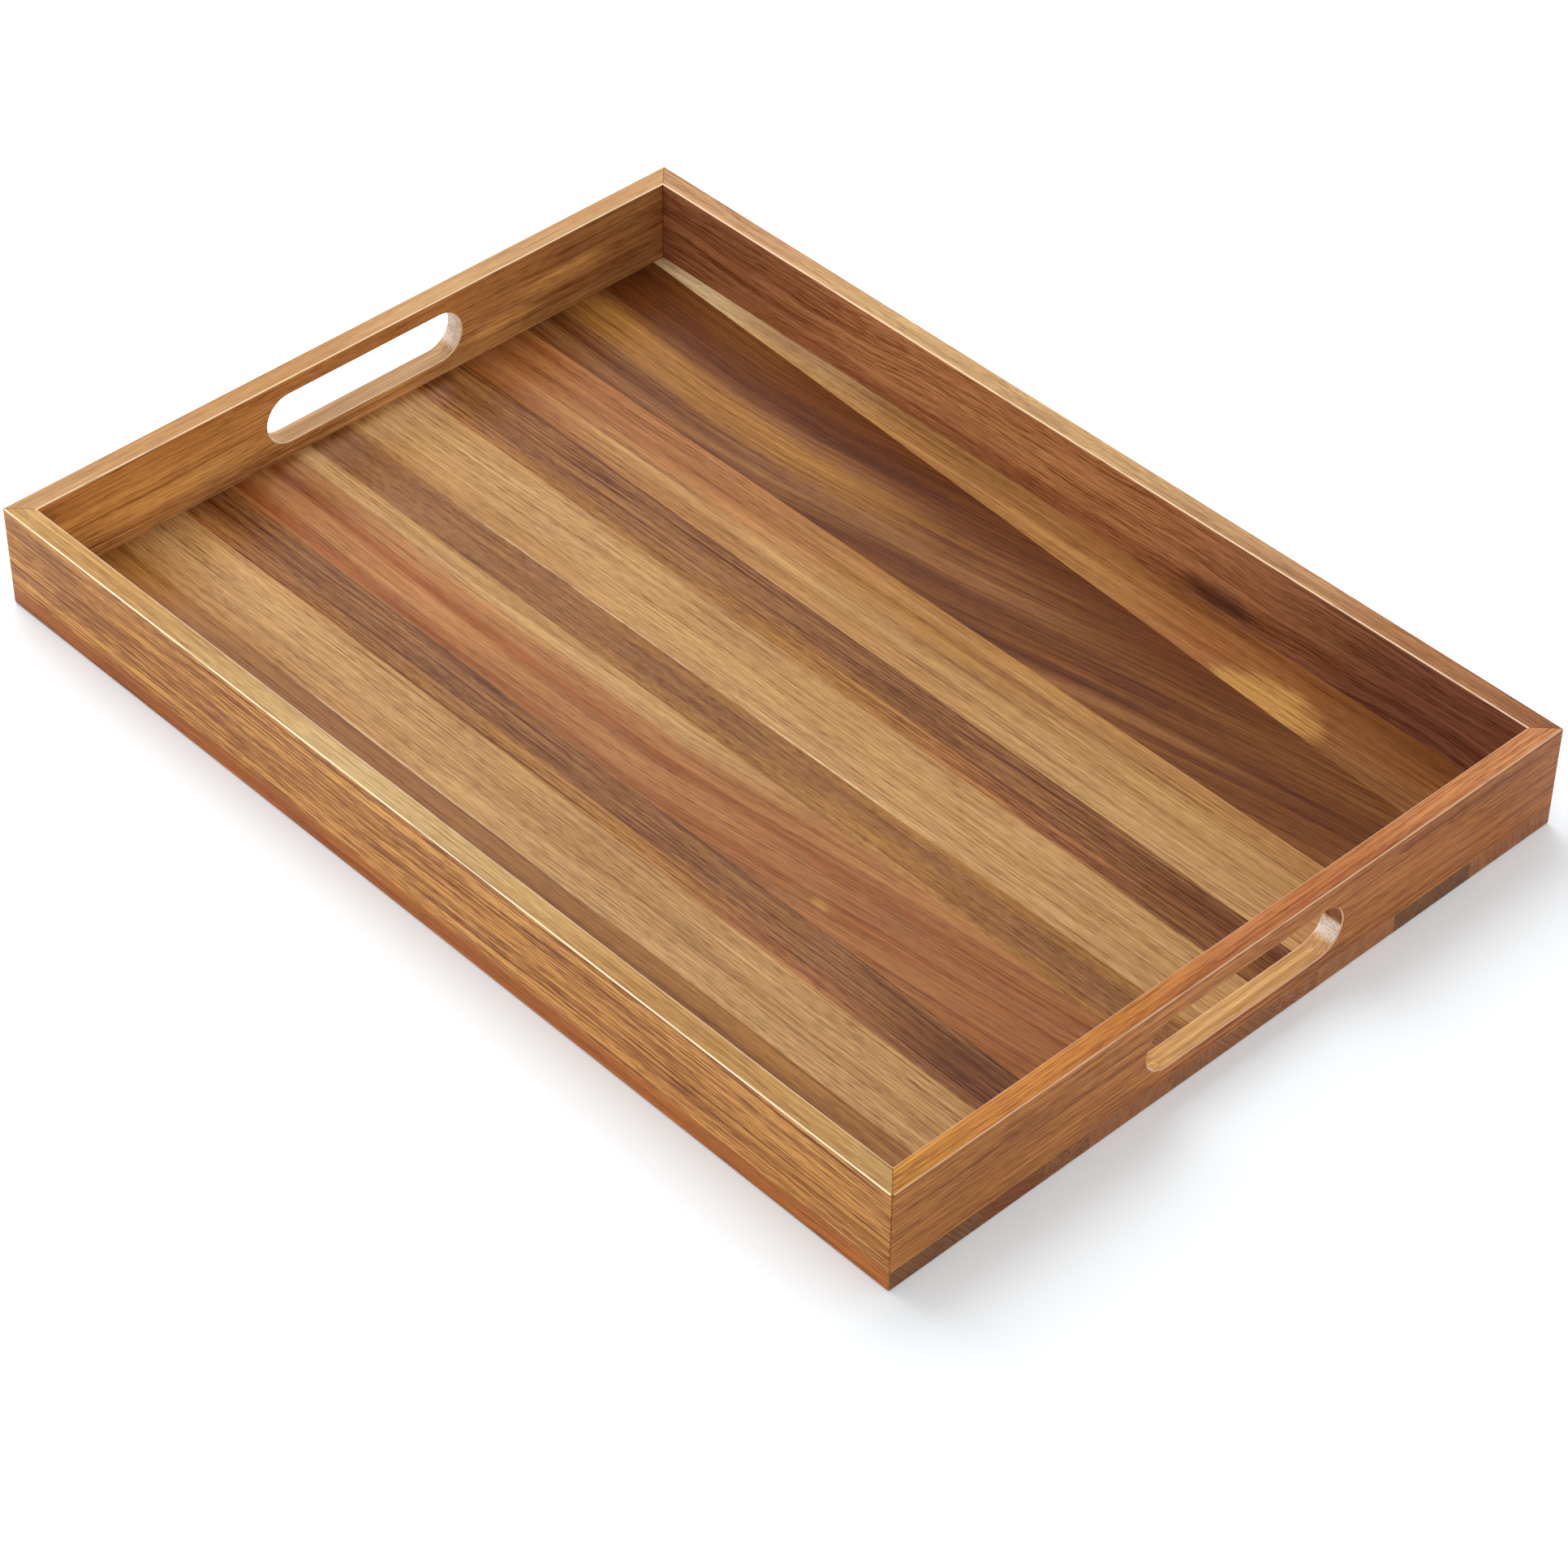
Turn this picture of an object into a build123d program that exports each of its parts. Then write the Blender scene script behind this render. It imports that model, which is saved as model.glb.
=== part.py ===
from build123d import *
import os

# Mitred wooden serving tray, in millimetres.
# A flat board of glued staves carries an upright frame of four mitred rails that stand on it,
# flush with its edges. Each end rail has a hand slot.
# Origin: centre of the underside. +X along the tray towards one end rail, +Y towards the rear
# long rail, +Z up.

# Driving dimensions of the tray
tray_length = 508.0
tray_width = 356.0
tray_height = 48.5
base_thickness = 9.5
rail_thickness = 10.0
arris_radius = 1.0  # every exposed outer edge is eased by this much

# Hand slots in the two end rails. The right one is a little further to the rear, and lower.
slot_length = 105.0
slot_height = 23.5
slot_centres = {  # y of each slot's centre, and how far it is below the rim
    "left": (0.0, 20.0),
    "right": (2.3, 21.3),
}

# Glue joints between the staves, front to rear: y at the left end, y at the right end.
# The joints are not parallel, and the last stave tapers strongly.
stave_joints = [
    (-131.0, -132.0),
    (-98.0, -101.0),
    (-74.0, -78.0),
    (-32.0, -35.0),
    (-12.0, -12.0),
    (25.5, 19.5),
    (53.0, 43.5),
    (88.5, 86.5),
    (163.0, 130.0),
]

# Dowels that pin the rails to the board
dowel_diameter = 5.0
dowel_in_base = 6.5
dowel_in_rail = 12.0
long_rail_dowel_pitch = 100.0
long_rail_dowels = 5
end_rail_dowel_pitch = 42.0
first_end_dowel = 66.0  # from the tray's centre line, clear of the hand slot
end_rail_dowels_each_side = 3

# Stopped splines hidden in the mitres
spline_thickness = 2.5
spline_width = 8.0
spline_inset = 6.0  # from both outer faces to the spline's centre
spline_above_base = 4.0
spline_below_rim = 7.0

half_length = tray_length / 2
half_width = tray_width / 2
rail_height = tray_height - base_thickness
overshoot = 5.0  # how far cutting shapes run past the faces that they cut


def bottom_block(length, width, height, bottom):
    """A block centred on the Z axis that stands on the level `bottom`."""
    block = Box(length, width, height, align=(Align.CENTER, Align.CENTER, Align.MIN))
    return Pos(0, 0, bottom) * block


def prism(points, bottom, top):
    """An upright prism with a straight-sided outline."""
    outline = make_face(Polyline(*points, close=True))
    return Pos(0, 0, bottom) * extrude(outline, top - bottom)


def upright_edges_at_corners(solid):
    """The four outer corner edges of a block or a frame."""
    near = 0.01
    upright = solid.edges().filter_by(Axis.Z)
    return [
        edge
        for edge in upright
        if abs(abs(edge.center().X) - half_length) < near
        and abs(abs(edge.center().Y) - half_width) < near
    ]


def base_board():
    """The whole board before it is divided into staves, with its outer edges eased."""
    board = bottom_block(tray_length, tray_width, base_thickness, 0)
    eased = upright_edges_at_corners(board) + list(board.faces().sort_by(Axis.Z)[0].edges())
    return fillet(eased, arris_radius)


def rail_frame():
    """All four rails as one ring, with the rim and the outer corners eased."""
    outside = bottom_block(tray_length, tray_width, rail_height, base_thickness)
    inner_length = tray_length - 2 * rail_thickness
    inner_width = tray_width - 2 * rail_thickness
    inside = bottom_block(inner_length, inner_width, rail_height, base_thickness)
    ring = outside - inside
    eased = upright_edges_at_corners(ring) + list(ring.faces().sort_by(Axis.Z)[-1].edges())
    return fillet(eased, arris_radius)


def joint_at(joint, x):
    """The y of a stave joint at the station x."""
    left_y, right_y = joint
    return left_y + (right_y - left_y) * (x + half_length) / tray_length


def stave_outline(front_joint, rear_joint):
    """The plan of one stave, run past the board's ends. None stands for the board's own edge."""
    left = -half_length - overshoot
    right = half_length + overshoot
    front_edge = -half_width - overshoot
    rear_edge = half_width + overshoot
    front = [joint_at(front_joint, x) if front_joint else front_edge for x in (left, right)]
    rear = [joint_at(rear_joint, x) if rear_joint else rear_edge for x in (left, right)]
    return [(left, front[0]), (right, front[1]), (right, rear[1]), (left, rear[0])]


def mitre_wedge(side):
    """The plan area of one rail: the ring between the two 45 degree mitres at its ends."""
    reach = rail_thickness + overshoot
    outer_x, outer_y = half_length + overshoot, half_width + overshoot
    inner_x, inner_y = half_length - reach, half_width - reach
    plans = {
        "front": [(-outer_x, -outer_y), (outer_x, -outer_y), (inner_x, -inner_y), (-inner_x, -inner_y)],
        "rear": [(-outer_x, outer_y), (-inner_x, inner_y), (inner_x, inner_y), (outer_x, outer_y)],
        "left": [(-outer_x, -outer_y), (-inner_x, -inner_y), (-inner_x, inner_y), (-outer_x, outer_y)],
        "right": [(outer_x, -outer_y), (outer_x, outer_y), (inner_x, inner_y), (inner_x, -inner_y)],
    }
    return prism(plans[side], base_thickness - overshoot, tray_height + overshoot)


def cut_hand_slot(rail, rail_centre_x, slot_centre):
    """Cuts the round-ended hand slot through an end rail and eases both of its rims."""
    centre_y, drop = slot_centre
    centre_z = tray_height - drop
    slot = extrude(SlotOverall(slot_length, slot_height), rail_thickness / 2 + overshoot, both=True)
    plane = Plane(origin=(rail_centre_x, centre_y, centre_z), x_dir=(0, 1, 0), z_dir=(1, 0, 0))
    opened = rail - plane * slot
    margin = 0.01
    reach_y = slot_length / 2 + margin
    reach_z = slot_height / 2 + margin
    around = opened.edges().filter_by_position(Axis.Z, centre_z - reach_z, centre_z + reach_z)
    around = around.filter_by_position(Axis.Y, centre_y - reach_y, centre_y + reach_y)
    on_faces = [
        edge
        for edge in around
        if abs(abs(edge.center().X - rail_centre_x) - rail_thickness / 2) < margin
    ]
    return fillet(on_faces, arris_radius)


def dowel_at(x, y):
    """One dowel, standing across the joint between the board and a rail."""
    bottom = base_thickness - dowel_in_base
    length = dowel_in_base + dowel_in_rail
    dowel = Cylinder(dowel_diameter / 2, length, align=(Align.CENTER, Align.CENTER, Align.MIN))
    return Pos(x, y, bottom) * dowel


def dowel_rows():
    """The dowels of each rail, all on the rail's centre line."""
    line_x = half_length - rail_thickness / 2
    line_y = half_width - rail_thickness / 2
    first = -(long_rail_dowels - 1) / 2
    along_x = [(first + i) * long_rail_dowel_pitch for i in range(long_rail_dowels)]
    outward = [first_end_dowel + i * end_rail_dowel_pitch for i in range(end_rail_dowels_each_side)]
    along_y = [-y for y in reversed(outward)] + outward
    return {
        "front": [dowel_at(x, -line_y) for x in along_x],
        "rear": [dowel_at(x, line_y) for x in along_x],
        "left": [dowel_at(-line_x, y) for y in along_y],
        "right": [dowel_at(line_x, y) for y in along_y],
    }


def spline_at(side_x, side_y):
    """The stopped spline across one mitre. side_x and side_y are -1 or 1."""
    height = rail_height - spline_above_base - spline_below_rim
    spline = Box(spline_width, spline_thickness, height, align=(Align.CENTER, Align.CENTER, Align.MIN))
    across_the_mitre = -45 * side_x * side_y
    x = side_x * (half_length - spline_inset)
    y = side_y * (half_width - spline_inset)
    return Pos(x, y, base_thickness + spline_above_base) * Rot(0, 0, across_the_mitre) * spline


def mitre_splines():
    """One spline to each corner, by the corner's name."""
    return {
        "front_left": spline_at(-1, -1),
        "front_right": spline_at(1, -1),
        "rear_left": spline_at(-1, 1),
        "rear_right": spline_at(1, 1),
    }


def only_solid(shape):
    """The single solid that a cut must leave."""
    solids = shape.solids()
    assert len(solids) == 1, f"expected one solid, found {len(solids)}"
    return solids[0]


def build_staves(dowels):
    """The board cut into staves along its glue joints, with the blind holes for the dowels."""
    board = base_board()
    edges = [None] + stave_joints + [None]
    staves = {}
    for number, (front_joint, rear_joint) in enumerate(zip(edges, edges[1:]), start=1):
        outline = stave_outline(front_joint, rear_joint)
        stave = board & prism(outline, -overshoot, base_thickness + overshoot)
        for dowel in dowels:
            stave = stave - dowel
        staves[f"base_stave_{number:02d}"] = only_solid(stave)
    return staves


def build_rails(dowels, splines):
    """The four rails, with hand slots, dowel holes and spline grooves."""
    ring = rail_frame()
    rails = {side: ring & mitre_wedge(side) for side in ("front", "rear", "left", "right")}
    end_line = half_length - rail_thickness / 2
    rails["left"] = cut_hand_slot(rails["left"], -end_line, slot_centres["left"])
    rails["right"] = cut_hand_slot(rails["right"], end_line, slot_centres["right"])
    for side, rail in rails.items():
        for insert in dowels[side] + list(splines.values()):
            rail = rail - insert
        rails[side] = only_solid(rail)
    return {f"{side}_rail": rail for side, rail in rails.items()}


def build_nodes():
    """Every piece of the tray by its node name."""
    dowels = dowel_rows()
    splines = mitre_splines()
    nodes = build_rails(dowels, splines)
    nodes.update(build_staves([dowel for row in dowels.values() for dowel in row]))
    nodes.update({f"mitre_spline_{corner}": spline for corner, spline in splines.items()})
    nodes.update({f"{side}_rail_dowels": Compound(children=row) for side, row in dowels.items()})
    return nodes


os.makedirs("parts", exist_ok=True)
for name, shape in build_nodes().items():
    export_step(shape, f"parts/{name}.step")
    print(name, len(shape.solids()), round(shape.volume, 1))
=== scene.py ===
import math

import bpy
from mathutils import Matrix, Vector


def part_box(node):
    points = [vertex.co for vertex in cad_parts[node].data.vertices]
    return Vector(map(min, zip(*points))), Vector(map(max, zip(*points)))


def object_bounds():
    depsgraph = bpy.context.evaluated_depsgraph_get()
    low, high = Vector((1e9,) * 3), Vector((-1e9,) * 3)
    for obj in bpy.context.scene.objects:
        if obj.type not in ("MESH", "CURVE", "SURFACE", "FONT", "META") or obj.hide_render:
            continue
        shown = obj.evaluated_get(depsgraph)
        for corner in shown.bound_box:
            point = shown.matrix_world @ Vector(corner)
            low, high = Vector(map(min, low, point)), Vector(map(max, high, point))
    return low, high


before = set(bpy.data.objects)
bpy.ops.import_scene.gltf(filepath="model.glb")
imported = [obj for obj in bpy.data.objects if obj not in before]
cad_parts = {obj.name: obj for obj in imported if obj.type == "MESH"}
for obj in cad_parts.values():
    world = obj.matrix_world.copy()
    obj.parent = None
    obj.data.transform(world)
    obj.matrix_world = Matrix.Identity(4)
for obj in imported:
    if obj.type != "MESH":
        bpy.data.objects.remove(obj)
cad_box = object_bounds()

# ---------------------------------------------------------------- sizes read from the frame
MM = 0.001
HALF_LENGTH, HALF_WIDTH, RIM = cad_box[1]
RAIL_LOW, RAIL_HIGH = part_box("front_rail")
BASE_TOP = RAIL_LOW.z
RAIL_THICKNESS = RAIL_HIGH.y - RAIL_LOW.y
ARRIS = 1.0 * MM  # the radius of every eased edge


# ---------------------------------------------------------------- colours
# How strongly the studio lights each side of the tray in red, green and blue, then what its lacquer
# reflects of the white room. The inner walls are lit by the warm board, so they get more red than blue.
FLOOR = (1.2, 1.2, 1.2, 0.024)
FRONT_FACE = (0.86, 0.86, 0.86, 0.03)
RIGHT_FACE = (0.76, 0.76, 0.76, 0.024)
BASE_EDGE = (0.68, 0.68, 0.68, 0.024)
REAR_WALL = (0.50, 0.42, 0.36, 0.0)
LEFT_WALL = (0.50, 0.43, 0.39, 0.0)
RIMS = (1.28, 1.28, 1.28, 0.035)
REAR_RIM = (1.20, 1.20, 1.20, 0.035)
RIGHT_RIM = (1.05, 1.05, 1.05, 0.03)
SLOT = (0.95, 0.95, 0.95, 0.03)

DARKEST = 0.003  # no wood is blacker than this


def seen(red, green, blue, lit=FLOOR):
    """The wood's own colour, from the screen colour it has on the lit side named."""
    *light, sheen = lit

    def own(level, strength):
        share = level / 255
        linear = share / 12.92 if share <= 0.04045 else ((share + 0.055) / 1.055) ** 2.4
        return max((linear - sheen) / strength, DARKEST)
    return (own(red, light[0]), own(green, light[1]), own(blue, light[2]), 1.0)


def all_seen(lit, *colours):
    """Several colours seen on the same side of the tray."""
    return [seen(*colour, lit) for colour in colours]


# The tones of the board
WHITE = seen(244, 214, 164)
CREAM = seen(222, 188, 146)
PALE = seen(199, 154, 103)
SAND = seen(191, 145, 94)
TAN = seen(183, 134, 84)
HONEY = seen(172, 121, 69)
GOLD = seen(209, 157, 92)
ORANGE = seen(181, 125, 80)
COPPER = seen(170, 113, 73)
RUST = seen(156, 99, 62)
RED = seen(161, 98, 61)
BROWN = seen(151, 104, 68)
UMBER = seen(134, 87, 56)
PLUM = seen(112, 70, 49)

# The sawn ends of the staves
END_PALE = seen(156, 107, 74, BASE_EDGE)
END_TAN = seen(147, 99, 69, BASE_EDGE)
END_BROWN = seen(138, 94, 66, BASE_EDGE)
END_DARK = seen(120, 85, 61, BASE_EDGE)
END_RED = seen(126, 80, 54, BASE_EDGE)


# ---------------------------------------------------------------- a short way to write node trees
class Tree:
    """Adds nodes to one material. A socket or a plain value may be given wherever an input is."""

    def __init__(self, material):
        self.nodes = material.node_tree.nodes
        self.links = material.node_tree.links
        self.nodes.clear()

    def put(self, socket, value):
        if isinstance(value, bpy.types.NodeSocket):
            self.links.new(value, socket)
        else:
            socket.default_value = value

    def node(self, kind, inputs, **settings):
        made = self.nodes.new(kind)
        for name, value in settings.items():
            setattr(made, name, value)
        for name, value in inputs.items():
            self.put(made.inputs[name], value)
        return made

    def math(self, operation, first, second=0.0):
        return self.node("ShaderNodeMath", {0: first, 1: second}, operation=operation).outputs[0]

    def add(self, first, second):
        return self.math("ADD", first, second)

    def subtract(self, first, second):
        return self.math("SUBTRACT", first, second)

    def multiply(self, first, second):
        return self.math("MULTIPLY", first, second)

    def absolute(self, value):
        return self.math("ABSOLUTE", value)

    def between(self, value, low, high, out_low=0.0, out_high=1.0, smooth=True):
        """Maps low..high to out_low..out_high, clamped."""
        inputs = {
            "Value": value,
            "From Min": low,
            "From Max": high,
            "To Min": out_low,
            "To Max": out_high,
        }
        kind = "SMOOTHSTEP" if smooth else "LINEAR"
        made = self.node("ShaderNodeMapRange", inputs, interpolation_type=kind, clamp=True)
        return made.outputs["Result"]

    def below(self, value, low, high):
        """1 up to low and 0 from high on, with a soft step between them."""
        return self.subtract(1.0, self.between(value, low, high))

    def swing(self, noise, gain):
        """Noise moved to lie around zero, times a gain."""
        return self.multiply(self.subtract(noise, 0.5), gain)

    def vector(self, x, y, z):
        return self.node("ShaderNodeCombineXYZ", {"X": x, "Y": y, "Z": z}).outputs[0]

    def noise(self, vector, detail=2.0, roughness=0.5):
        inputs = {"Vector": vector, "Scale": 1.0, "Detail": detail, "Roughness": roughness}
        return self.node("ShaderNodeTexNoise", inputs).outputs["Fac"]

    def mix(self, factor, first, second, blend="MIX"):
        made = self.nodes.new("ShaderNodeMix")
        made.data_type = "RGBA"
        made.blend_type = blend
        self.put(made.inputs["Factor"], factor)
        self.put(made.inputs[6], first)  # the colour sockets A and B
        self.put(made.inputs[7], second)
        return made.outputs[2]

    def tint(self, amount, colour, factors):
        """Multiplies a colour by the factors, as far as amount says."""
        return self.mix(amount, colour, (*factors, 1.0), "MULTIPLY")

    def ramp(self, factor, stops):
        """A colour ramp with its stops at the places given, from 0 to 1."""
        made = self.node("ShaderNodeValToRGB", {"Fac": factor})
        elements = made.color_ramp.elements
        while len(elements) < len(stops):
            elements.new(1.0)
        while len(elements) > len(stops):
            elements.remove(elements[-1])
        for element, (position, colour) in zip(elements, stops):
            element.position = position
            element.color = colour
        return made.outputs["Color"]


def new_material(name):
    """An empty material and its tree."""
    material = bpy.data.materials.new(name)
    material.use_nodes = True
    return material, Tree(material)


def dress(node_name, material):
    """Gives a CAD node its only material."""
    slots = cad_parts[node_name].data.materials
    slots.clear()
    slots.append(material)


def facing(tree):
    """The parts of the surface's direction along x, y and z."""
    normal = tree.node("ShaderNodeNewGeometry", {}).outputs["Normal"]
    return tree.node("ShaderNodeSeparateXYZ", {"Vector": normal}).outputs


def turned(tree, part):
    """1 on faces that look along an axis either way, from the part of their direction along it."""
    return tree.between(tree.absolute(part), 0.4, 0.8)


# ---------------------------------------------------------------- wood
# What the darkest and the lightest grain do to the colour around them
DARKER = (0.50, 0.36, 0.28, 1.0)
LIGHTER = (1.50, 1.64, 1.72, 1.0)

# What each of these multiplies the colour under it by
LINE_TINT = (0.54, 0.40, 0.31)
PORE_TINT = (0.58, 0.43, 0.34)
RING_TINT = (0.72, 0.66, 0.62)
MITRE_TINT = (0.55, 0.45, 0.42)
SLOT_BAND_TINT = (0.74, 0.68, 0.62)
# painted shade: what the upper wall of a hand slot is darkened by
SLOT_TOP_PAINTED_SHADE = (0.60, 0.50, 0.60)

# How strongly each kind of grain shows where its own share is 1
STREAK_GAIN = 3.2
FIBRE_GAIN = 3.2
GRIT_GAIN = 2.0
FLECK_GAIN = 1.7

RINGS_PER_METRE = 900.0  # growth rings on the sawn ends
RING_TURN = 37  # degrees that the rings turn from one stave to the next


class Grain:
    """Where a point lies in one board: along the grain, across it and through its thickness.

    waves are how far, in millimetres, the wide and the small waves of the figure swing. drift lists
    places along the board, in half lengths, and how far its figure has drifted there in millimetres.
    """

    def __init__(self, tree, axes, seed, waves, drift, half):
        place = tree.node("ShaderNodeTexCoord", {}).outputs["Object"]
        xyz = tree.node("ShaderNodeSeparateXYZ", {"Vector": place}).outputs
        self.tree = tree
        self.along, self.straight, self.deep = (xyz[axis] for axis in axes)
        self.seed = seed
        wide_swing, small_swing = (2 * wave * MM for wave in waves)
        wide = self.pattern(self.straight, 3.0, 9.0, detail=1.0)
        small = self.pattern(self.straight, 16.0, 45.0, detail=1.0, shift=7.0)
        bent = tree.add(self.straight, tree.swing(wide, wide_swing))
        bent = tree.add(bent, tree.swing(small, small_swing))
        for (start, low), (stop, high) in zip(drift, drift[1:]):
            drop = (low - high) * MM
            drifted = tree.between(self.along, start * half, stop * half, 0.0, drop, smooth=False)
            bent = tree.add(bent, drifted)
        self.across = bent

    def pattern(self, across, long, fine, detail=2.0, roughness=0.5, shift=0.0):
        """Noise with so many cells to the metre along the grain and across it. shift picks its own."""
        tree = self.tree
        start = 10.0 * self.seed + shift
        u = tree.add(tree.multiply(self.along, long), start)
        v = tree.multiply(across, fine)
        w = tree.multiply(self.deep, fine)
        return tree.noise(tree.vector(u, v, w), detail, roughness)


def even(*colours):
    """Stops at even spacing across a board, front to rear or bottom to top."""
    last = max(len(colours) - 1, 1)
    return [(index / last, colour) for index, colour in enumerate(colours)]


def stations_colour(tree, share, along, half, stations, reach=0.0):
    """Mixes the colour profiles of a board from its one end to the other.

    Each station is a place in half lengths and its profile. reach is how far below 0 the places in
    the profiles start.
    """
    factor = tree.between(share, -reach, 1.0, smooth=False)
    places = [place for place, _ in stations]
    profiles = []
    for _, stops in stations:
        moved = [((place + reach) / (1 + reach), colour) for place, colour in stops]
        profiles.append(tree.ramp(factor, moved))
    colour = profiles[0]
    for start, stop, profile in zip(places, places[1:], profiles[1:]):
        colour = tree.mix(tree.between(along, start * half, stop * half), colour, profile)
    return colour


def grained(grain, colour, streak, fibre, pores, mottle, lines=0.0, fleck=0.0, calm=1.0):
    """Adds streaks, fibres and pores to a board's colours. calm below 1 makes them fainter."""
    tree = grain.tree
    streaks = grain.pattern(grain.across, 5.0, 200.0, detail=5.0, roughness=0.75, shift=1.0)
    fibres = grain.pattern(grain.across, 16.0, 1400.0, detail=3.0, roughness=0.7, shift=2.0)
    grit = grain.pattern(grain.across, 130.0, 2200.0, detail=1.0, shift=4.0)
    clouds = grain.pattern(grain.straight, 26.0, 60.0, detail=3.0, roughness=0.6, shift=3.0)

    tone = tree.swing(streaks, STREAK_GAIN * streak)
    tone = tree.add(tone, tree.swing(fibres, FIBRE_GAIN * fibre))
    tone = tree.add(tone, tree.swing(grit, GRIT_GAIN * fibre))
    tone = tree.add(tone, tree.swing(clouds, mottle))
    if fleck:
        spots = grain.pattern(grain.straight, 210.0, 900.0, roughness=0.6, shift=5.0)
        tone = tree.add(tone, tree.swing(spots, FLECK_GAIN * fleck))
    tone = tree.add(tree.multiply(tone, calm), 0.5)
    colour = tree.mix(1.0, colour, tree.mix(tone, DARKER, LIGHTER), "MULTIPLY")
    if lines:
        thin = grain.pattern(grain.across, 9.0, 800.0, detail=3.0, roughness=0.7, shift=6.0)
        line = tree.multiply(tree.multiply(tree.between(thin, 0.54, 0.61), lines), calm)
        colour = tree.tint(line, colour, LINE_TINT)
    pore = tree.multiply(tree.multiply(tree.between(grit, 0.60, 0.72), pores), calm)
    return tree.tint(pore, colour, PORE_TINT)


def lacquer(grain, colour):
    """A thin satin coat over the wood, which lets the grain be felt."""
    tree = grain.tree
    clouds = grain.pattern(grain.straight, 30.0, 70.0, shift=11.0)
    fibres = grain.pattern(grain.across, 60.0, 1100.0, roughness=0.6, shift=12.0)
    uneven = tree.add(clouds, tree.multiply(fibres, 0.5))
    bump = tree.node("ShaderNodeBump", {"Height": fibres, "Strength": 0.35, "Distance": 0.12 * MM})
    inputs = {
        "Base Color": colour,
        "Roughness": tree.between(uneven, 0.5, 1.0, 0.34, 0.46, smooth=False),
        "Normal": bump.outputs[0],
        "Specular IOR Level": 0.13,
    }
    shader = tree.node("ShaderNodeBsdfPrincipled", inputs)
    tree.node("ShaderNodeOutputMaterial", {"Surface": shader.outputs[0]})


def wear_and_highlight(grain, colour, turning, strength, worn_and_highlight):
    """Lightens the arrises in lines that are a little broken: partly where the colour is rubbed
    through, and partly a painted highlight of the glints on the eased edges.

    turning is 0 or 1 on the flat faces and lies between them on the arrises.
    """
    tree = grain.tree
    on_arris = tree.multiply(tree.between(turning, 0.25, 0.5), tree.below(turning, 0.75, 0.92))
    gaps = grain.pattern(grain.straight, 50.0, 50.0, detail=3.0, shift=8.5)
    broken = tree.between(gaps, 0.3, 0.5, 0.6, 1.0)
    amount = tree.multiply(tree.multiply(on_arris, broken), strength)
    return tree.mix(amount, colour, worn_and_highlight)


def oval_patch(centre, size, colour, strength=1.0, soft=0.45):
    """A patch of other colour on a board. centre and size, which is half the patch's, are in
    millimetres along and across. soft is the share over which it fades."""
    def add(grain, base):
        tree = grain.tree
        wobble = tree.subtract(grain.pattern(grain.straight, 60.0, 90.0, shift=9.0), 0.5)
        du = tree.multiply(tree.subtract(grain.along, centre[0] * MM), 1 / (size[0] * MM))
        dv = tree.multiply(tree.subtract(grain.straight, centre[1] * MM), 1 / (size[1] * MM))
        away = tree.add(tree.multiply(du, du), tree.multiply(dv, dv))
        away = tree.add(away, wobble)
        inside = tree.multiply(tree.below(away, 1.0 - soft, 1.0), strength)
        return tree.mix(inside, base, colour)
    return add


# ---------------------------------------------------------------- staves
def joint_ends(node_name, side):
    """The y of a stave's front and rear edges at its left end, side -1, or at its right end, side 1."""
    corners = [vertex.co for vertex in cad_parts[node_name].data.vertices]
    end = [co.y for co in corners if side * co.x > HALF_LENGTH - 1.5 * ARRIS]
    return min(end), max(end)


def joints(grain, node_name):
    """The y of a stave's front joint and of its rear joint, beside the point that is shaded."""
    ends = zip(joint_ends(node_name, -1), joint_ends(node_name, 1))
    return [
        grain.tree.between(grain.along, -HALF_LENGTH, HALF_LENGTH, left, right, smooth=False)
        for left, right in ends
    ]


def sap_line(grain, colour, rear, start, stop):
    """A thin, broken line of pale sapwood along the rear joint, between two places in half lengths."""
    tree = grain.tree
    fade = 60 * MM
    first, last = start * HALF_LENGTH, stop * HALF_LENGTH
    near = tree.below(tree.subtract(rear, grain.straight), 0.5 * MM, 1.1 * MM)
    broken = tree.between(grain.pattern(grain.straight, 20.0, 60.0, shift=8.0), 0.3, 0.55, 0.3, 1.0)
    rising = tree.between(grain.along, first, first + fade)
    falling = tree.below(grain.along, last - fade, last)
    line = tree.multiply(tree.multiply(near, broken), tree.multiply(rising, falling))
    return tree.mix(line, colour, CREAM)


def end_grain(grain, colour, tilt):
    """Growth rings on the sawn ends of a board, which run across them at an angle."""
    tree = grain.tree
    over = tree.multiply(grain.straight, math.cos(tilt))
    slanted = tree.add(over, tree.multiply(grain.deep, math.sin(tilt)))
    rings = tree.noise(tree.vector(tree.multiply(slanted, RINGS_PER_METRE), grain.seed, 0.0))
    return tree.tint(tree.between(rings, 0.4, 0.6), colour, RING_TINT)


def off_axes(tree, normal):
    """0 on the flat faces, rising on the arrises between them."""
    x, y, z = (tree.absolute(normal[axis]) for axis in "XYZ")
    flattest = tree.math("MAXIMUM", tree.math("MAXIMUM", x, y), z)
    return tree.multiply(tree.subtract(1.0, flattest), 2.0)


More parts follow.
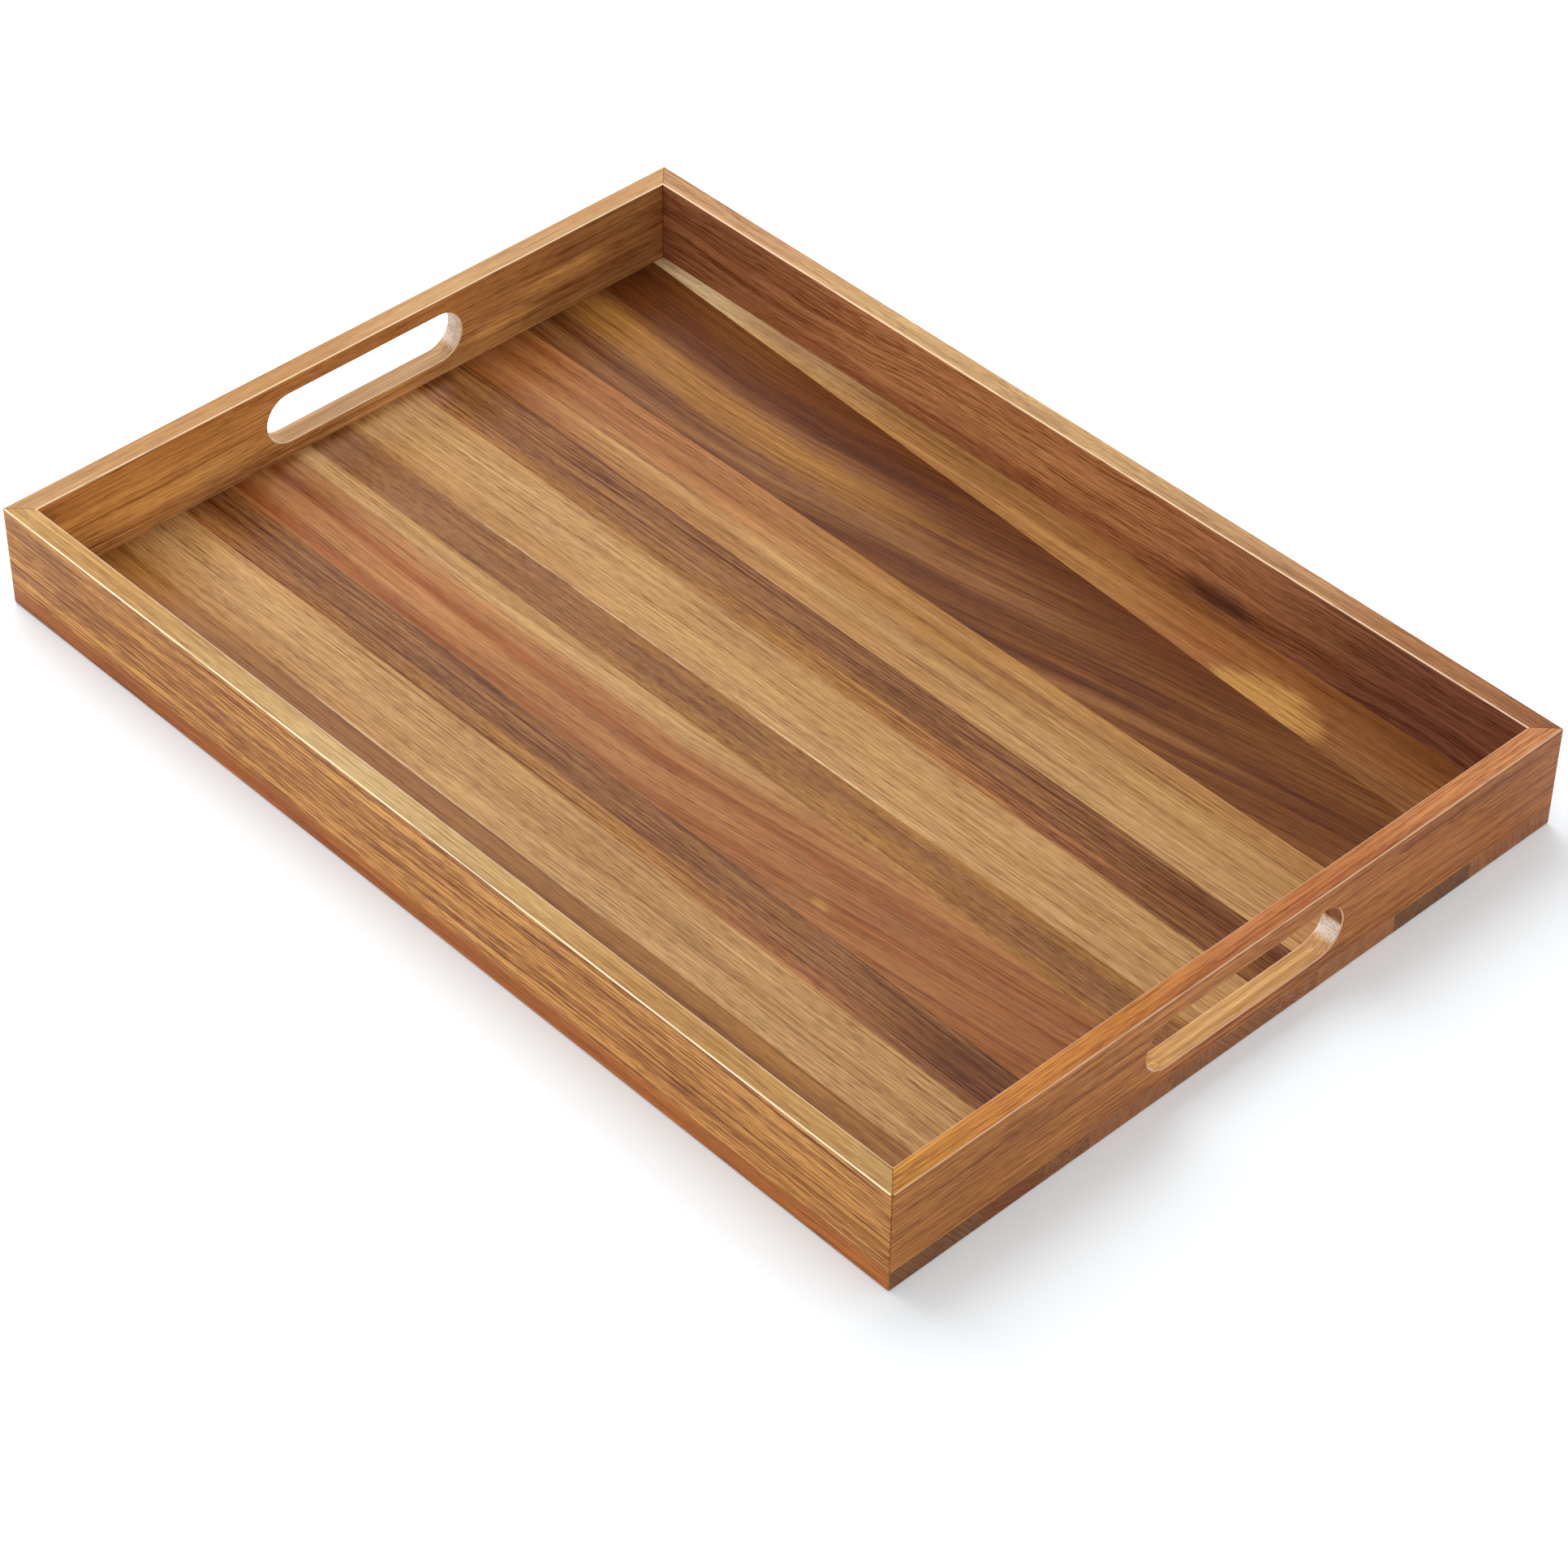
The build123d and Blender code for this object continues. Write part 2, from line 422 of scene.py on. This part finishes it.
def stave(number, stations, end, streak=0.5, fibre=0.5, pores=0.4, mottle=0.2, lines=0.0, fleck=0.0,
          waves=(2.0, 0.4), drift=(), reach=0.0, edge=None, sap=None, patches=()):
    """A stave's wood, with its colour profiles from front to rear.

    end is the colour of its sawn ends, edge that of its long outer face, and sap where its line of
    sapwood starts and stops.
    """
    name = f"base_stave_{number:02d}"
    material, tree = new_material(name)
    grain = Grain(tree, "XYZ", number, waves, drift, HALF_LENGTH)
    front, rear = joints(grain, name)
    share = tree.math("DIVIDE", tree.subtract(grain.across, front), tree.subtract(rear, front))
    colour = stations_colour(tree, share, grain.along, HALF_LENGTH, stations, reach)
    normal = facing(tree)
    if edge:
        colour = tree.mix(turned(tree, normal["Y"]), colour, edge)
    for patch in patches:
        colour = patch(grain, colour)
    if sap:
        colour = sap_line(grain, colour, rear, *sap)
    on_end = turned(tree, normal["X"])
    rings = end_grain(grain, end, math.radians(RING_TURN * number))
    colour = tree.mix(on_end, colour, rings)
    calm = tree.between(on_end, 0.0, 1.0, 1.0, 0.7)
    colour = grained(grain, colour, streak, fibre, pores, mottle, lines, fleck, calm)
    # pale arrises: partly rubbed wood, partly a painted highlight
    colour = wear_and_highlight(grain, colour, off_axes(tree, normal), 0.3, PALE)
    lacquer(grain, colour)
    dress(name, material)


def front_stave(number):
    """Brown, under the front rail, with a line of sapwood. Its outer edge is russet."""
    stations = [
        (-0.9, even(BROWN, BROWN, HONEY)),
        (-0.4, even(BROWN, BROWN, BROWN)),
        (0.7, even(UMBER, BROWN, HONEY)),
    ]
    stave(number, stations, END_DARK, lines=0.4, edge=seen(172, 106, 62, FRONT_FACE), sap=(-0.6, 0.3))


def pale_stave(number, end, fibre):
    """Sand-coloured and even."""
    stations = [
        (-0.6, even(TAN, SAND, PALE, PALE, SAND)),
        (0.0, even(PALE, PALE, SAND, SAND, SAND)),
        (0.6, even(PALE, PALE, SAND, PALE, SAND)),
    ]
    stave(number, stations, end, streak=0.22, fibre=fibre, mottle=0.4)


def dark_stave(number, end):
    """Brown with strong thin lines, darkest at its right end."""
    stations = [
        (-0.9, even(COPPER, BROWN, UMBER, BROWN, UMBER)),
        (-0.5, even(HONEY, BROWN, BROWN, BROWN, BROWN)),
        (0.0, even(HONEY, HONEY, BROWN, BROWN, BROWN)),
        (0.5, even(COPPER, COPPER, BROWN, BROWN, BROWN)),
        (0.8, even(BROWN, UMBER, UMBER, PLUM, BROWN)),
    ]
    stave(number, stations, end, fibre=0.9, lines=1.0, pores=0.6)


def banded_stave(number):
    """Orange with red bands, which drift towards the rear to the right of the middle."""
    left = [
        (0.0, COPPER), (0.07, RED), (0.13, RED), (0.22, ORANGE), (0.42, ORANGE), (0.49, RED),
        (0.55, RED), (0.62, ORANGE), (0.74, ORANGE), (0.83, PALE), (1.0, SAND),
    ]
    middle = [
        (-0.1, COPPER), (0.06, RUST), (0.16, ORANGE), (0.38, ORANGE), (0.46, RUST), (0.52, RED),
        (0.58, ORANGE), (0.72, ORANGE), (0.82, PALE), (1.0, SAND),
    ]
    right = [
        (-0.3, COPPER), (-0.1, COPPER), (0.06, RED), (0.14, COPPER), (0.34, COPPER), (0.42, RED),
        (0.5, COPPER), (0.7, ORANGE),
    ]
    far_right = [
        (-0.3, RUST), (-0.1, COPPER), (0.1, RUST), (0.2, COPPER), (0.4, RUST), (0.6, COPPER),
    ]
    stations = [(-0.6, left), (0.0, middle), (0.4, right), (0.8, far_right)]
    knot = [
        oval_patch((100, -67), (20, 6), TAN, 0.4, 1.0),
        oval_patch((104, -68), (6, 2.5), GOLD, 0.6, 1.0),
    ]
    stave(number, stations, END_TAN, lines=0.15, reach=0.3, waves=(2.5, 0.5), patches=knot,
          drift=[(-1.0, 3.0), (-0.5, 0.0), (0.0, 2.0), (0.4, 12.0), (1.0, 26.0)])


def flecked_stave(number):
    """Brown and finely flecked, with the longest line of sapwood."""
    stations = [
        (-0.6, even(BROWN, BROWN, BROWN, BROWN)),
        (0.0, even(HONEY, BROWN, BROWN, HONEY)),
        (0.4, even(TAN, HONEY, BROWN, HONEY)),
        (0.7, even(HONEY, BROWN, BROWN, HONEY)),
    ]
    stave(number, stations, END_BROWN, streak=0.3, fibre=0.6, fleck=0.5, mottle=0.4, sap=(-0.75, 0.48))


def orange_stave(number):
    """Copper at its left end, fading to sand at its right end."""
    stations = [
        (-0.9, even(RUST, COPPER, COPPER, RUST, COPPER, RUST, COPPER)),
        (-0.5, even(ORANGE, TAN, SAND, ORANGE, COPPER, ORANGE, COPPER)),
        (0.0, even(SAND, TAN, SAND, SAND, TAN, HONEY, TAN, HONEY)),
        (0.6, even(PALE, PALE, PALE, SAND, SAND, TAN, TAN)),
    ]
    stave(number, stations, END_PALE)


def walnut_stave(number):
    """The darkest, with a honey band at the left. Its figure drifts towards the rear to the right."""
    left = [
        (0.03, UMBER), (0.12, BROWN), (0.21, PLUM), (0.28, BROWN), (0.37, HONEY), (0.53, HONEY),
        (0.62, UMBER), (0.72, PLUM), (0.85, PLUM), (1.0, UMBER),
    ]
    left_of_middle = [
        (0.0, PLUM), (0.08, BROWN), (0.25, BROWN), (0.33, HONEY), (0.48, HONEY), (0.56, BROWN),
        (0.68, PLUM), (0.9, PLUM),
    ]
    middle = [
        (-0.2, PLUM), (-0.08, UMBER), (0.04, PLUM), (0.22, BROWN), (0.4, UMBER), (0.5, UMBER),
        (0.62, PLUM),
    ]
    right_of_middle = [
        (-0.45, UMBER), (-0.36, BROWN), (-0.28, PLUM), (-0.18, UMBER), (-0.06, PLUM), (0.1, UMBER),
        (0.26, PLUM),
    ]
    right = [(-0.7, UMBER), (-0.4, PLUM), (-0.15, UMBER), (0.0, UMBER)]
    stations = [
        (-0.8, left), (-0.4, left_of_middle), (0.0, middle), (0.4, right_of_middle), (0.8, right),
    ]
    drift = [(-1.0, 5.0), (-0.6, 0.0), (-0.4, 2.0), (0.0, 14.0), (0.4, 32.0), (0.8, 46.0), (1.0, 52.0)]
    stave(number, stations, END_DARK, streak=0.6, lines=0.5, waves=(3.5, 0.8), reach=0.7, drift=drift)


def wedge_stave(number):
    """Tapered, from almost white at its left end to russet, with a golden half oval on its joint."""
    stations = [
        (-0.93, even(WHITE, WHITE)),
        (-0.6, even(PALE, CREAM)),
        (-0.3, even(TAN, SAND)),
        (0.1, even(TAN, ORANGE)),
        (0.4, even(COPPER, COPPER)),
        (0.8, even(BROWN, RUST)),
    ]
    half_oval = oval_patch((139, 138), (34, 20), GOLD, 0.95, 0.75)
    stave(number, stations, END_TAN, lines=0.2, patches=[half_oval])


def make_staves():
    """The ten staves, front to rear."""
    front_stave(1)
    pale_stave(2, END_RED, fibre=0.65)
    dark_stave(3, END_BROWN)
    banded_stave(4)
    flecked_stave(5)
    pale_stave(6, END_BROWN, fibre=0.6)
    dark_stave(7, END_TAN)
    orange_stave(8)
    walnut_stave(9)
    wedge_stave(10)


# ---------------------------------------------------------------- rails
def hand_slot(node_name):
    """Half the straight length of a rail's hand slot, its radius, and the y and z of its centre."""
    corners = [vertex.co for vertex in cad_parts[node_name].data.vertices]
    outer = [co for co in corners if abs(co.x) > HALF_LENGTH - ARRIS / 2]
    lowest, highest = BASE_TOP + 2 * ARRIS, RIM - 2 * ARRIS
    rim = [co for co in outer if abs(co.y) < HALF_WIDTH / 2 and lowest < co.z < highest]
    top = max(co.z for co in rim)
    bottom = min(co.z for co in rim)
    front = min(co.y for co in rim)
    rear = max(co.y for co in rim)
    radius = (top - bottom) / 2 - ARRIS
    return (rear - front) / 2 - ARRIS - radius, radius, (front + rear) / 2, (top + bottom) / 2


def slot_colours(grain, colour, slot, wall, end, painted_shade_height):
    """The light wood inside a hand slot, paler on its round ends, a painted highlight, up to the share
    of the radius in tall; above that share the wall is darkened, a painted shade.

    Gives the colour, and 1 inside the slot.
    """
    tree = grain.tree
    straight, radius, centre, middle = slot
    along = tree.absolute(tree.subtract(grain.along, centre))
    beyond = tree.math("MAXIMUM", tree.subtract(along, straight), 0.0)
    up = tree.subtract(grain.straight, middle)
    squares = tree.add(tree.multiply(beyond, beyond), tree.multiply(up, up))
    from_outline = tree.absolute(tree.subtract(tree.math("SQRT", squares), radius))
    inside = tree.below(from_outline, 0.1 * MM, 0.3 * MM)
    bands = grain.pattern(grain.straight, 12.0, 500.0, detail=3.0, roughness=0.7, shift=10.0)
    wall = tree.tint(tree.between(bands, 0.38, 0.62), wall, SLOT_BAND_TINT)
    # painted highlight: the pale colour on the slot's round ends
    ends = tree.between(beyond, 0.5 * radius, 0.8 * radius)
    # painted shade above this height, where the painted highlight on the ends also stops
    low = tree.below(up, (painted_shade_height - 0.2) * radius, painted_shade_height * radius)
    shown = tree.mix(low, tree.tint(1.0, wall, SLOT_TOP_PAINTED_SHADE), wall)
    return tree.mix(inside, colour, tree.mix(tree.multiply(ends, low), shown, end)), inside


def mitre_line(grain, colour, half_length, half_width):
    """The thin dark line where two rails meet in a mitre."""
    tree = grain.tree
    from_end = tree.subtract(half_length, tree.absolute(grain.along))
    from_face = tree.subtract(half_width, tree.absolute(grain.deep))
    apart = tree.absolute(tree.subtract(from_end, from_face))
    return tree.tint(tree.below(apart, 0.15 * MM, 0.4 * MM), colour, MITRE_TINT)


def rail(side, outer, inner, rim, seed, worn_and_highlight, streak, fibre, mottle=0.3, lines=0.0, waves=(2.0, 0.5),
         slot=None, rim_calm=0.5, patches=()):
    """A rail's wood.

    outer and inner are the colour profiles of its faces from bottom to top, and rim is one along the
    rail. slot is the colour of its hand slot, the colour of the slot's pale ends, a painted highlight,
    and how far up that goes; above that the slot is painted in shade. The patches are on the inner
    face.
    worn is the colour of the arrises, partly rubbed wood and partly a painted highlight.
    """
    name = f"{side}_rail"
    material, tree = new_material(name)
    along, deep = ("X", "Y") if side in ("front", "rear") else ("Y", "X")
    half = HALF_LENGTH if along == "X" else HALF_WIDTH
    limit = HALF_WIDTH if along == "X" else HALF_LENGTH
    grain = Grain(tree, (along, "Z", deep), seed, waves, (), half)
    share = tree.between(grain.across, BASE_TOP, RIM, smooth=False)
    outside = stations_colour(tree, share, grain.along, half, outer)
    inside = stations_colour(tree, share, grain.along, half, inner)
    for patch in patches:
        inside = patch(grain, inside)
    middle = limit - RAIL_THICKNESS / 2
    outward = tree.between(tree.absolute(grain.deep), middle - 1 * MM, middle + 1 * MM)
    colour = tree.mix(outward, inside, outside)
    top = tree.ramp(tree.between(grain.along, -half, half, smooth=False), rim)
    normal = facing(tree)
    on_top = tree.between(normal["Z"], 0.3, 0.8)
    above_slot = tree.between(grain.straight, RIM - 3 * ARRIS, RIM - 2 * ARRIS)
    colour = tree.mix(tree.multiply(on_top, above_slot), colour, top)
    calm = tree.between(on_top, 0.0, 1.0, 1.0, rim_calm)
    if slot:
        colour, in_slot = slot_colours(grain, colour, hand_slot(name), *slot)
        calm = tree.multiply(calm, tree.between(in_slot, 0.0, 1.0, 1.0, 0.6))
    colour = grained(grain, colour, streak, fibre, 0.4, mottle, lines, calm=calm)
    colour = mitre_line(grain, colour, half, limit)
    turning = tree.absolute(normal[deep])
    off_corner = tree.below(tree.absolute(grain.along), half - 1.5 * ARRIS, half - ARRIS)
    # pale arrises: partly rubbed wood, partly a painted highlight
    colour = wear_and_highlight(grain, colour, turning, off_corner, worn_and_highlight)
    lacquer(grain, colour)
    dress(name, material)


def front_rail():
    """Honey brown with long dark lines, and a pale rim."""
    dark, mid, light = all_seen(FRONT_FACE, (177, 122, 71), (187, 131, 78), (197, 141, 85))
    inner = seen(150, 95, 52, REAR_WALL)
    rim_dark, rim_mid, rim_light, rim_pale = all_seen(
        RIMS, (206, 156, 97), (211, 167, 109), (213, 173, 116), (222, 186, 132))
    rail("front", seed=21, streak=0.9, fibre=1.3, lines=0.9, waves=(4.0, 0.8), rim_calm=0.35,
         worn_and_highlight=seen(255, 240, 205, FRONT_FACE),
         outer=[
             (-0.8, even(mid, mid, dark, mid)),
             (0.0, even(light, mid, mid, light)),
             (0.8, even(mid, dark, mid, mid)),
         ],
         inner=[(0.0, even(inner, inner))],
         rim=even(rim_mid, rim_dark, rim_light, rim_pale, rim_light, rim_dark, rim_dark, rim_mid))


def rear_rail():
    """Dark, wavy wood with a knot low down near its right end."""
    back_dark, back_light = all_seen(RIGHT_FACE, (150, 95, 60), (160, 105, 66))
    deep, dark, mid, light = all_seen(
        REAR_WALL, (99, 57, 38), (110, 63, 36), (124, 72, 42), (145, 91, 53))
    knot = seen(64, 36, 26, REAR_WALL)
    glow = seen(158, 104, 60, REAR_WALL)
    rim_deep, rim_dark, rim_mid, rim_pale = all_seen(
        REAR_RIM, (168, 116, 86), (187, 135, 95), (200, 154, 114), (211, 170, 122))
    rail("rear", seed=22, streak=0.8, fibre=0.8, lines=0.3, waves=(11.0, 4.0),
         worn_and_highlight=seen(252, 222, 190, SLOT),
         patches=[
             oval_patch((90, 17), (26, 8), knot, 0.75, 1.0),
             oval_patch((-30, 30), (60, 9), glow, 0.5, 1.0),
         ],
         outer=[(0.0, even(back_dark, back_light))],
         inner=[
             (-0.8, even(dark, mid, dark)),
             (-0.4, even(mid, light, light)),
             (0.1, even(mid, light, light)),
             (0.8, even(deep, deep, deep)),
         ],
         rim=even(rim_mid, rim_mid, rim_pale, rim_pale, rim_pale, rim_mid, rim_dark, rim_deep))


def left_rail():
    """Golden brown, with soft light streaks on both sides of its hand slot."""
    back_dark, back_light = all_seen(RIGHT_FACE, (155, 103, 61), (162, 109, 66))
    dark, mid, light, gold = all_seen(
        LEFT_WALL, (130, 82, 43), (149, 94, 47), (159, 106, 60), (174, 120, 62))
    glow = seen(186, 132, 70, LEFT_WALL)
    rim_dark, rim_mid = all_seen(RIMS, (203, 153, 103), (207, 161, 114))
    rail("left", seed=23, streak=0.6, fibre=0.6, mottle=0.7, waves=(6.0, 1.5),
         worn_and_highlight=seen(255, 228, 194, SLOT),
         patches=[
             oval_patch((-108, 24), (44, 5), glow, 0.6, 1.0),
             oval_patch((74, 20), (30, 4.5), glow, 0.6, 1.0),
             oval_patch((108, 29), (34, 5), gold, 0.6, 1.0),
         ],
         # the slot's pale ends are a painted highlight
         slot=(seen(196, 158, 118, SLOT), seen(238, 218, 202, SLOT), 1.6),
         outer=[(0.0, even(back_dark, back_light, back_dark))],
         inner=[
             (-0.8, even(light, gold, mid)),
             (0.0, even(light, light, mid)),
             (0.8, even(dark, dark, dark)),
         ],
         rim=even(rim_mid, rim_dark, rim_dark, rim_mid, rim_mid, rim_mid))


def right_rail():
    """Plain brown outside, with a rim that goes from gold at the front to rose at the rear."""
    brown, light, russet = all_seen(RIGHT_FACE, (154, 101, 60), (163, 106, 64), (154, 97, 58))
    inner = seen(150, 95, 52, LEFT_WALL)
    gold, amber, copper, rose, pale = all_seen(
        RIGHT_RIM, (200, 140, 66), (195, 128, 70), (182, 117, 77), (202, 137, 92), (212, 148, 104))
    rail("right", seed=24, streak=0.65, fibre=0.8, lines=0.25, mottle=0.5, rim_calm=0.7,
         worn_and_highlight=seen(244, 200, 165, RIGHT_RIM),
         # the slot's pale ends are a painted highlight low down; from just below mid-height up the slot
         # is painted in shade
         slot=(seen(216, 168, 112, SLOT), seen(240, 222, 206, FRONT_FACE), -0.1),
         outer=[
             (-0.8, even(brown, brown)),
             (0.0, even(light, light)),
             (0.8, even(russet, russet)),
         ],
         inner=[(0.0, even(inner, inner))],
         rim=even(gold, amber, amber, copper, copper, rose, pale))


def make_fixings():
    """Pale beech for the dowels and splines that are hidden in the joints."""
    beech = even(seen(205, 164, 120), seen(220, 182, 138))
    hidden = [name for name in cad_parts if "dowel" in name or "spline" in name]
    first_seed = 31  # past the seeds of the staves and the rails
    for seed, name in enumerate(sorted(hidden), start=first_seed):
        material, tree = new_material(name)
        grain = Grain(tree, "ZXY", seed, (0.5, 0.2), (), RIM)
        bands = grain.pattern(grain.across, 40.0, 250.0, detail=3.0)
        colour = tree.ramp(tree.between(bands, 0.3, 0.7), beech)
        colour = grained(grain, colour, streak=0.3, fibre=0.5, pores=0.3, mottle=0.2)
        lacquer(grain, colour)
        dress(name, material)


# ---------------------------------------------------------------- stage, light, camera
def direction(azimuth, elevation):
    """Unit vector from the tray towards a compass direction. Azimuth 0 is +Y, 90 is +X."""
    a, e = math.radians(azimuth), math.radians(elevation)
    return Vector((math.sin(a) * math.cos(e), math.cos(a) * math.cos(e), math.sin(e)))


def make_floor():
    """White paper, which glows a little so that the tray's shadow stays light.

    Its tint is cool, against the warm light that the wood throws on it.
    """
    half = 4.0
    corners = [(-half, -half, 0), (half, -half, 0), (half, half, 0), (-half, half, 0)]
    mesh = bpy.data.meshes.new("floor")
    mesh.from_pydata(corners, [], [(0, 1, 2, 3)])
    floor = bpy.data.objects.new("floor", mesh)
    bpy.context.scene.collection.objects.link(floor)
    paper = bpy.data.materials.new("white_paper")
    paper.use_nodes = True
    shader = paper.node_tree.nodes["Principled BSDF"]
    shader.inputs["Base Color"].default_value = (0.86, 0.915, 0.95, 1.0)
    shader.inputs["Roughness"].default_value = 0.9
    shader.inputs["Specular IOR Level"].default_value = 0.1
    shader.inputs["Emission Color"].default_value = (1.0, 1.0, 1.0, 1.0)
    shader.inputs["Emission Strength"].default_value = 0.22
    mesh.materials.append(paper)
    floor.location.z = -0.2 * MM  # just clear of the tray's underside


def softbox(name, azimuth, elevation, distance, width, height, power):
    """A rectangular lamp that looks at the middle of the tray."""
    lamp = bpy.data.lights.new(name, "AREA")
    lamp.shape = "RECTANGLE"
    lamp.size = width
    lamp.size_y = height
    lamp.energy = power
    box = bpy.data.objects.new(name, lamp)
    towards = direction(azimuth, elevation)
    box.location = towards * distance
    box.rotation_euler = towards.to_track_quat("Z", "Y").to_euler()
    bpy.context.scene.collection.objects.link(box)


def make_world(level):
    """An even white room."""
    world = bpy.data.worlds.new("studio")
    world.use_nodes = True
    background = world.node_tree.nodes["Background"]
    background.inputs["Color"].default_value = (1.0, 1.0, 1.0, 1.0)
    background.inputs["Strength"].default_value = level
    bpy.context.scene.world = world


def make_camera():
    """The view from in front of the right-hand end, looking down over the tray."""
    azimuth, elevation, roll = (math.radians(angle) for angle in (46.15, 41.95, 0.835))
    distance = 1.712
    aim = Vector((0.302 * HALF_LENGTH, -0.345 * HALF_WIDTH, RIM))
    forward = Vector((
        -math.sin(azimuth) * math.cos(elevation),
        math.cos(azimuth) * math.cos(elevation),
        -math.sin(elevation),
    ))
    level_right = Vector((math.cos(azimuth), math.sin(azimuth), 0))
    level_up = level_right.cross(forward)
    right = level_right * math.cos(roll) + level_up * math.sin(roll)
    up = level_up * math.cos(roll) - level_right * math.sin(roll)
    turn = Matrix((right, up, -forward)).transposed()
    camera = bpy.data.cameras.new("camera")
    camera.lens = 105.41
    camera.sensor_width = 36.0
    camera.clip_end = 20.0
    eye = bpy.data.objects.new("camera", camera)
    eye.matrix_world = Matrix.Translation(aim - forward * distance) @ turn.to_4x4()
    bpy.context.scene.collection.objects.link(eye)
    bpy.context.scene.camera = eye


make_staves()
front_rail()
rear_rail()
left_rail()
right_rail()
make_fixings()
make_floor()
make_world(level=0.62)
softbox("key", azimuth=-78, elevation=57, distance=1.3, width=1.3, height=1.3, power=15)
make_camera()
bpy.context.scene.view_settings.view_transform = "Standard"
